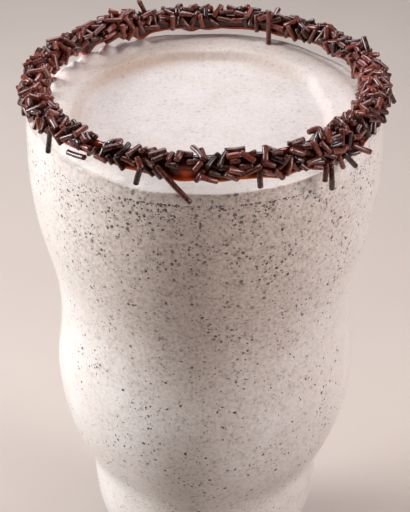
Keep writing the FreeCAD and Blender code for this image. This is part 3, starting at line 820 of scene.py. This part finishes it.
def scatter_strands(sizes):
    """Drops strands on the caramel one by one, each as low as those below it let it lie."""
    draw = np.random.default_rng(SEED + 2)
    placed = []
    starts = np.zeros((0, 3))
    ends = np.zeros((0, 3))
    radii = np.zeros(0)

    def settle(turn, place, width, length, direction, first_lift, top_lift):
        """Lifts a strand until it clears its neighbours; None if it would lie too high."""
        foot, normal, around, down = rim_axes(turn, place)
        along = direction[0] * around + direction[1] * down + direction[2] * normal
        along = along / np.linalg.norm(along)
        lift = first_lift
        while lift <= top_lift:
            middle = foot + (sizes.caramel_film * 0.7 + width / 2 + lift) * normal
            start = middle - along * (length - width) / 2
            end = middle + along * (length - width) / 2
            if len(starts) == 0:
                return start, end, along, lift
            near = np.abs(starts - middle).max(axis=1) < 12 * MM
            if not near.any():
                return start, end, along, lift
            gaps = nearest_gap(start, end, starts[near], ends[near]) - radii[near] - width / 2
            if gaps.min() > -0.20 * MM:
                return start, end, along, lift
            lift += 0.18 * MM
        return None

    def keep(found, width, length):
        nonlocal starts, ends, radii
        start, end, along, lift = found
        placed.append((start, end, along, width, length, lift))
        starts = np.vstack((starts, start))
        ends = np.vstack((ends, end))
        radii = np.append(radii, width / 2)

    for degrees, place, lift, length, direction in STRAYS:
        start, end, along, _ = settle(math.radians(degrees), place * MM, sizes.strand_width,
                                      length * MM, direction, lift * MM, 9 * MM)
        # A strand that hangs clear is given the painted shade of the strands at the bottom of the
        # heap.
        keep((start, end, along, 0.0), sizes.strand_width, length * MM)
    attempts = 0
    while len(placed) < sizes.strands and attempts < 16 * sizes.strands:
        attempts += 1
        turn = draw.uniform(0, 2 * math.pi)
        outside = (by_angle(turn, HEAP, 1) - 1.0) * MM + BEND
        inside = (by_angle(turn, HEAP, 2) - 0.7) * MM + BEND
        place = float(outside - draw.uniform(0, 1) * (outside + inside))
        if any(bare_distance(turn, place, patch) < (patch[2] + 0.9) * MM for patch in BARE):
            continue
        inward = float(fade(-place, -2.5 * MM, 2.5 * MM))
        pile = (1 - inward) * by_angle(turn, HEAP, 3) + inward * by_angle(turn, HEAP, 4)
        width = sizes.strand_width * draw.uniform(0.90, 1.08)
        broken = draw.uniform(0.6, 0.9)
        whole = draw.uniform(0.85, 1.2)
        length = sizes.strand_length * draw.choice((broken, whole), p=(0.35, 0.65))
        heading = draw.normal(0, 0.75) if draw.uniform() < 0.7 else draw.uniform(0, math.pi)
        tilt = draw.normal(0, 0.22)
        direction = (math.cos(heading), math.sin(heading), tilt)
        top_lift = float(0.1 + pile * draw.uniform(0.3, 1.0)) * MM
        found = settle(turn, place, width, length, direction, 0.0, top_lift)
        if found is not None:
            keep(found, width, length)
    return placed, draw


class MILKSHAKE_OT_strands(bpy.types.Operator):
    """Heaps chocolate strands on the caramel, in every direction, with a few that stick out"""
    bl_idname = "milkshake.strands"
    bl_label = "Chocolate strands"

    def execute(self, context):
        sizes = context.scene.milkshake_sizes
        placed, draw = scatter_strands(sizes)
        sides = 9
        # Shares of the radius and of the length, from one broken end to the other.
        stations = (
            (0.80, 0.0), (0.96, 0.02), (1.0, 0.07), (1.0, 0.5), (1.0, 0.93), (0.96, 0.98), (0.80, 1.0))
        circle = np.linspace(0, 2 * math.pi, sides, endpoint=False)
        points = []
        faces = []
        shades = []
        for start, end, along, width, length, lift in placed:
            across = np.cross(along, UP if abs(along[2]) < 0.9 else np.array((1.0, 0.0, 0.0)))
            across = across / np.linalg.norm(across)
            over = np.cross(along, across)
            bow = draw.normal(0, 0.05) * length
            flat = draw.uniform(0.88, 1.0)
            # Painted shade: strands low in the heap are darker and those on top paler, with some
            # random difference in shade besides.
            painted_shade_and_tone = float(np.clip(draw.normal(0.20 + 0.34 * min(1.0, lift / (1.4 * MM)), 0.17), 0, 1))
            first = sum(len(block) for block in points)
            tip = start - along * width / 2
            block = []
            for share_width, share in stations:
                middle = tip + along * share * length + across * bow * 4 * share * (1 - share)
                lump = 1 + draw.normal(0, 0.035)
                radius = share_width * lump * width / 2
                block.append(middle + radius * (
                    np.cos(circle)[:, None] * across + flat * np.sin(circle)[:, None] * over))
            block = np.concatenate(block)
            points.append(block)
            shades.append(np.full(len(block), painted_shade_and_tone))
            faces.extend(ring_faces(len(stations), sides, first))
            faces.append(tuple(range(first + sides - 1, first - 1, -1)))
            last = first + (len(stations) - 1) * sides
            faces.append(tuple(range(last, last + sides)))
        material = chocolate_material(context.scene.milkshake_colours)
        make_piece("chocolate_strands", np.concatenate(points), faces, material,
                   "strands", {"shade": np.concatenate(shades)})
        return {"FINISHED"}


class MILKSHAKE_OT_glass(bpy.types.Operator):
    """Gives the glass its clear material"""
    bl_idname = "milkshake.glass"
    bl_label = "Glass"

    def execute(self, context):
        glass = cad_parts["glass"]
        material = clear_glass()
        for place in glass.material_slots:
            place.material = material
        return {"FINISHED"}


# Stage, light and camera ---------------------------------------------------------------------

def add_light(name, azimuth, elevation, distance, size, power, colour):
    """A soft square light that shines on the glass. Angles are in degrees, lengths in metres."""
    lamp = bpy.data.lights.new(name, "AREA")
    lamp.shape = "RECTANGLE"
    lamp.size, lamp.size_y = size
    lamp.energy = power
    lamp.color = linear(colour)[:3]
    turn, lift = math.radians(azimuth), math.radians(elevation)
    away = Vector((math.cos(lift) * math.cos(turn), math.cos(lift) * math.sin(turn), math.sin(lift)))
    holder = bpy.data.objects.new(name, lamp)
    holder.location = Vector((0, 0, 0.6 * RIM)) + distance * away
    holder.rotation_euler = (-away).to_track_quat("-Z", "Y").to_euler()
    bpy.context.scene.collection.objects.link(holder)
    return holder


class MILKSHAKE_OT_stage(bpy.types.Operator):
    """Sets the floor, the backdrop, the lights and the camera"""
    bl_idname = "milkshake.stage"
    bl_label = "Stage"

    def execute(self, context):
        scene = context.scene
        # A floor that curves up into a backdrop well behind the glass.
        reach = 1.6
        bend = 0.5
        profile = [(-reach, 0.0)]
        for step in range(13):
            turn = math.pi / 2 * step / 12
            profile.append((reach - bend + bend * math.sin(turn), bend - bend * math.cos(turn)))
        profile.append((reach, 1.6))
        points = []
        for y, z in profile:
            points.append((-2 * reach, y, z))
            points.append((2 * reach, y, z))
        faces = [(2 * k, 2 * k + 1, 2 * k + 3, 2 * k + 2) for k in range(len(profile) - 1)]
        mesh = bpy.data.meshes.new("floor")
        mesh.from_pydata(points, [], faces)
        mesh.polygons.foreach_set("use_smooth", np.ones(len(faces), dtype=bool))
        mesh.materials.append(stage_material(scene.milkshake_colours))
        floor = bpy.data.objects.new("floor", mesh)
        scene.collection.objects.link(floor)

        # Azimuth from +X, elevation, distance, size, power and colour of each soft light.
        add_light("key_left", 180, 25, 0.60, (0.24, 0.28), 4.15, "#F2F8FF")
        add_light("side_right", 340, 25, 0.60, (0.22, 0.30), 2.00, "#FCFAFF")
        add_light("back", 90, 45, 0.65, (0.34, 0.20), 1.62, "#E8F1FF")
        add_light("overhead", 90, 85, 0.70, (0.28, 0.28), 1.85, "#FFF5F0")

        world = bpy.data.worlds.new("studio")
        world.use_nodes = True
        background = world.node_tree.nodes["Background"]
        background.inputs["Color"].default_value = linear("#F1E6E0")
        background.inputs["Strength"].default_value = 0.03
        scene.world = world
        scene.view_settings.view_transform = "Standard"

        # The camera stands in front of the glass, above its rim, and looks down at it.
        lens = bpy.data.cameras.new("camera")
        lens.lens = 100.0
        lens.sensor_width = 36.0
        lens.clip_start = 0.01
        camera = bpy.data.objects.new("camera", lens)
        camera.location = (0.0, -309.3 * MM, RIM + 139.3 * MM)
        camera.rotation_euler = (math.radians(90 - 31.37), 0.0, 0.0)
        scene.collection.objects.link(camera)
        scene.camera = camera
        return {"FINISHED"}


class MILKSHAKE_PT_panel(bpy.types.Panel):
    bl_idname = "MILKSHAKE_PT_panel"
    bl_label = "Milkshake"
    bl_space_type = "VIEW_3D"
    bl_region_type = "UI"
    bl_category = "Milkshake"

    def draw(self, context):
        for group in (context.scene.milkshake_sizes, context.scene.milkshake_colours):
            for name in group.__annotations__:
                self.layout.prop(group, name)
        for operator in OPERATORS:
            self.layout.operator(operator.bl_idname)


OPERATORS = (
    MILKSHAKE_OT_stage,
    MILKSHAKE_OT_glass,
    MILKSHAKE_OT_drink,
    MILKSHAKE_OT_crumbs,
    MILKSHAKE_OT_caramel,
    MILKSHAKE_OT_strands,
)
CLASSES = (MilkshakeSizes, MilkshakeColours, *OPERATORS, MILKSHAKE_PT_panel)


def register():
    for item in CLASSES:
        bpy.utils.register_class(item)
    bpy.types.Scene.milkshake_sizes = bpy.props.PointerProperty(type=MilkshakeSizes)
    bpy.types.Scene.milkshake_colours = bpy.props.PointerProperty(type=MilkshakeColours)


def unregister():
    del bpy.types.Scene.milkshake_colours
    del bpy.types.Scene.milkshake_sizes
    for item in reversed(CLASSES):
        bpy.utils.unregister_class(item)


def main():
    register()
    bpy.ops.milkshake.stage()
    bpy.ops.milkshake.glass()
    bpy.ops.milkshake.drink()
    bpy.ops.milkshake.crumbs()
    bpy.ops.milkshake.caramel()
    bpy.ops.milkshake.strands()


if __name__ == "__main__":
    main()
